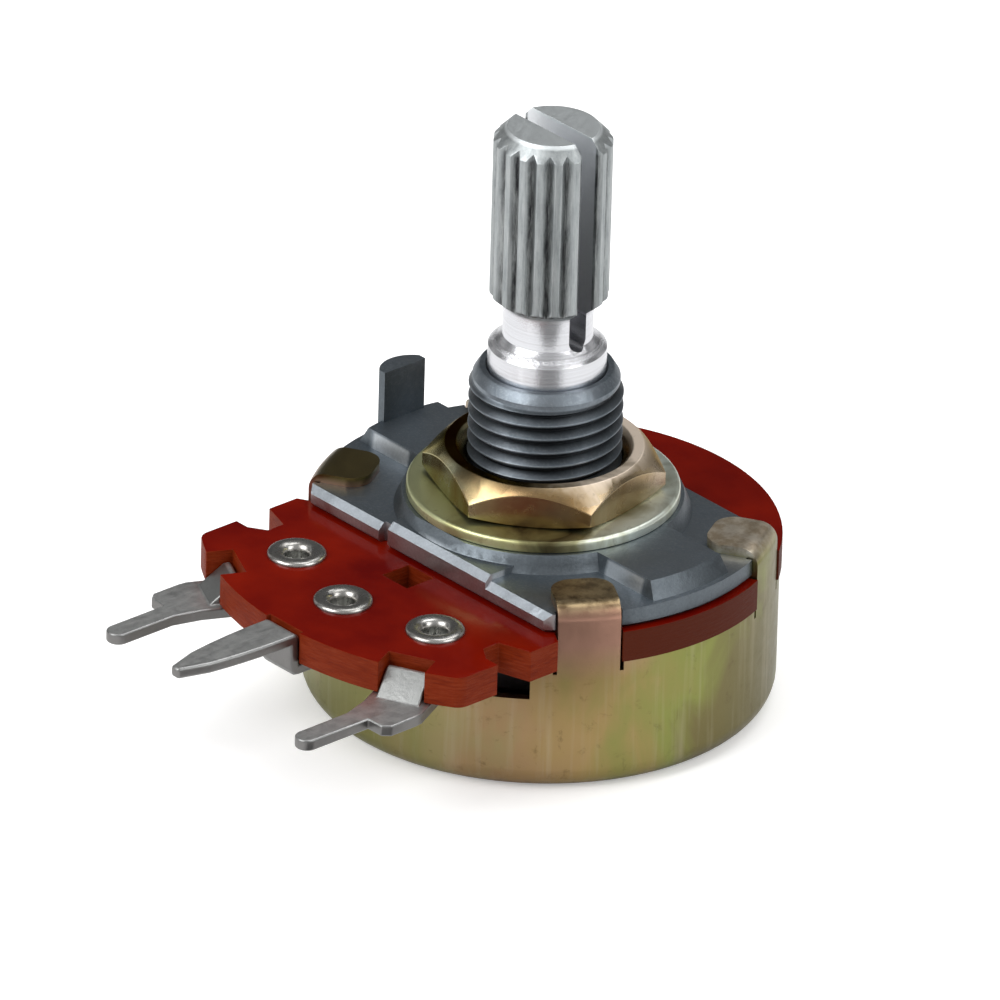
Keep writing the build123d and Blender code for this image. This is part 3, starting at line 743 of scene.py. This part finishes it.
# partly the passivation's colour, partly painted light: the dark band at the middle is a painted
# shadow and reflection of the nut, and the pale +X +Y end a painted highlight
washer_colour_and_light = [
    (0.12, (0.58, 0.6, 0.34)), (0.28, (0.42, 0.41, 0.2)), (0.42, (0.1, 0.085, 0.04)),
    (0.56, (0.36, 0.35, 0.2)), (0.74, (0.88, 0.94, 0.84)),
]
washer_finish = passivated(
    "chromate_washer", washer_colour_and_light, 0.34, (0.03, 0.04, 0.0), 0.25, 0.002
)[0]
hole_side = [
    (washer_hole, washer_bevel), (washer_hole, washer_top - washer_bevel),
    (washer_hole + washer_bevel, washer_top),
]
rim_side = [
    (
        washer_rim - washer_round + washer_round * math.sin(turn),
        washer_top - washer_round + washer_round * math.cos(turn),
    )
    for turn in quarter_turn
]
underside = [
    (washer_rim, washer_foot), (washer_rim - washer_foot, 0), (washer_hole + washer_bevel, 0),
    (washer_hole, washer_bevel),
]
washer = bmesh.new()
revolve(washer, hole_side + rim_side + underside, 128)
as_piece(washer, "plain_washer", "washer", washer_finish, ["flat_washer"])


# The panel nut is turned from hexagon bar, chamfered at its corners, and passivated. It is
# browner than the washer and polished on its flats. Its top runs from dark brown to pale, a
# painted shade and highlight, and the tones on its flats are partly its own colour and partly
# painted light, paler at both ends of the bands.
# the flats' tones: partly the passivation's colour, partly painted light, paler at both ends
flat_colour_and_light = [
    (0.1, (0.55, 0.54, 0.36)), (0.24, (0.4, 0.32, 0.17)), (0.4, (0.3, 0.2, 0.1)),
    (0.55, (0.34, 0.22, 0.1)), (0.7, (0.46, 0.36, 0.23)), (0.9, (0.6, 0.5, 0.38)),
]
# the top's tones: painted shade and highlight, from dark brown on the -X -Y side to pale on the
# +X +Y side
top_colour_and_light = [
    (0.08, (0.04, 0.026, 0.01)), (0.26, (0.08, 0.055, 0.025)), (0.42, (0.13, 0.092, 0.045)),
    (0.55, (0.36, 0.28, 0.175)), (0.68, (0.95, 0.83, 0.7)),
]
nut_finish, _, nut_shader, _ = passivated(
    "chromate_nut", flat_colour_and_light, 0.2, (0.04, 0.05, 0.0), 0.22, 0.0015, top_colour_and_light
)
nut_shader.inputs["Specular Tint"].default_value = (0.4, 0.32, 0.2, 1)
nut = from_node("hex_nut")
soften(nut, 0.12, 18, 3)
as_piece(nut, "panel_nut", "nut", nut_finish, ["hex_nut"])


# The studio: a pale floor just below the cover, soft lamps, cards for the reflections and a
# white surround, with the camera a long way off.
floor_height = cad_low.z - 0.00002
card_height = floor_height + 0.0003
surround_strength = 0.5
view_azimuth = 47.94
view_elevation = 27.25
view_roll = 1.61
view_distance = 1.0
pixels_wide = 1000
pixels_per_mm = 19.917
aim_right = -2.17 * MM
aim_up = -0.48 * MM


def studio_floor():
    material, tree, shader = finish("studio_floor", (0.86, 0.86, 0.86), 0.0, 0.9)
    shader.inputs["Specular IOR Level"].default_value = 0
    path = tree.nodes.new("ShaderNodeLightPath")
    lift = tree.nodes.new("ShaderNodeMath")
    lift.operation = "MULTIPLY"
    lift.inputs[1].default_value = 0.3
    tree.links.new(path.outputs["Is Camera Ray"], lift.inputs[0])
    shader.inputs["Emission Color"].default_value = (1, 1, 1, 1)
    tree.links.new(lift.outputs["Value"], shader.inputs["Emission Strength"])
    return material


ground = bmesh.new()
bmesh.ops.create_grid(ground, x_segments=1, y_segments=1, size=3)
bmesh.ops.translate(ground, vec=(0, 0, floor_height), verts=ground.verts)
in_scene(ground, "floor", studio_floor())

world = bpy.data.worlds.new("surround")
world.use_nodes = True
sky = world.node_tree
background = sky.nodes["Background"]
background.inputs["Color"].default_value = (1, 1, 1, 1)
ray = sky.nodes.new("ShaderNodeLightPath")
seen = arithmetic(
    sky, "MAXIMUM", ray.outputs["Is Camera Ray"], ray.outputs["Is Transmission Ray"]
)
strength = sky.nodes.new("ShaderNodeMath")
strength.operation = "MAXIMUM"
strength.inputs[1].default_value = surround_strength
sky.links.new(seen, strength.inputs[0])
sky.links.new(strength.outputs["Value"], background.inputs["Strength"])
bpy.context.scene.world = world


def direction(azimuth, elevation):
    """Unit vector from the object towards a place round it, as the views are counted."""
    a = math.radians(azimuth)
    e = math.radians(elevation)
    return Vector((math.sin(a) * math.cos(e), -math.cos(a) * math.cos(e), math.sin(e)))


def facing(where, back, roll=0):
    """A transform that looks along -back from a place."""
    right = Vector((0, 0, 1)).cross(back).normalized()
    up = back.cross(right)
    turn = math.radians(roll)
    across = right * math.cos(turn) + up * math.sin(turn)
    upward = up * math.cos(turn) - right * math.sin(turn)
    axes = Matrix((across, upward, back)).transposed()
    return Matrix.Translation(where) @ axes.to_4x4()


def soft_lamp(name, azimuth, elevation, size, power, distance=0.45):
    """A square lamp that faces the object."""
    lamp = bpy.data.lights.new(name, "AREA")
    lamp.shape = "SQUARE"
    lamp.size = size
    lamp.energy = power
    holder = bpy.data.objects.new(name, lamp)
    bpy.context.scene.collection.objects.link(holder)
    back = direction(azimuth, elevation)
    holder.matrix_world = facing(back * distance, back)


def grey_card(name, width, height, tone, transform):
    """A card that only reflections see, as the room behind a light tent."""
    material = bpy.data.materials.new(name)
    material.use_nodes = True
    tree = material.node_tree
    tree.nodes.clear()
    glow = tree.nodes.new("ShaderNodeEmission")
    glow.inputs["Color"].default_value = (tone, tone, tone, 1)
    output = tree.nodes.new("ShaderNodeOutputMaterial")
    tree.links.new(glow.outputs["Emission"], output.inputs["Surface"])
    shape = bmesh.new()
    bmesh.ops.create_grid(shape, x_segments=1, y_segments=1, size=0.5)
    bmesh.ops.scale(shape, vec=(width, height, 1), verts=shape.verts)
    card = in_scene(shape, name, material)
    card.matrix_world = transform
    card.visible_camera = False
    card.visible_diffuse = False
    card.visible_transmission = False
    card.visible_shadow = False


def standing(azimuth, elevation, distance=0.35):
    """A card's place in the air, facing the object."""
    back = direction(azimuth, elevation)
    return facing(back * distance, back)


def lying(azimuth, distance):
    """A card's place flat on the floor."""
    spot = direction(azimuth, 0) * distance
    spot.z = card_height
    return Matrix.Translation(spot) @ Matrix.Rotation(math.radians(azimuth), 4, "Z")


soft_lamp("key", view_azimuth - 60, 40, size=0.3, power=1.5)
soft_lamp("fill", view_azimuth + 60, 35, size=0.3, power=0.7)
soft_lamp("top", view_azimuth + 150, 70, size=0.35, power=0.9)
grey_card("card_behind", 0.62, 0.32, 0.1, standing(view_azimuth + 180, 28))
grey_card("card_overhead", 0.3, 0.2, 0.16, standing(view_azimuth + 200, 66))
grey_card("card_right", 0.24, 0.3, 0.12, standing(view_azimuth + 95, 22))
grey_card("card_left", 0.1, 0.3, 0.15, standing(view_azimuth - 110, 22))
grey_card("card_front", 0.03, 0.05, 0.25, lying(view_azimuth + 4, 0.047))

camera = bpy.data.cameras.new("camera")
camera.sensor_width = 36
camera.lens = camera.sensor_width * view_distance / (pixels_wide / pixels_per_mm * MM)
camera.clip_start = 0.01
camera.clip_end = 20
viewer = bpy.data.objects.new("camera", camera)
bpy.context.scene.collection.objects.link(viewer)
towards = direction(view_azimuth, view_elevation)
pose = facing(Vector((0, 0, 0)), towards, view_roll)
aim = pose.to_3x3() @ Vector((aim_right, aim_up, 0))
pose.translation = aim + towards * view_distance
viewer.matrix_world = pose
bpy.context.scene.camera = viewer
bpy.context.scene.view_settings.view_transform = "Standard"
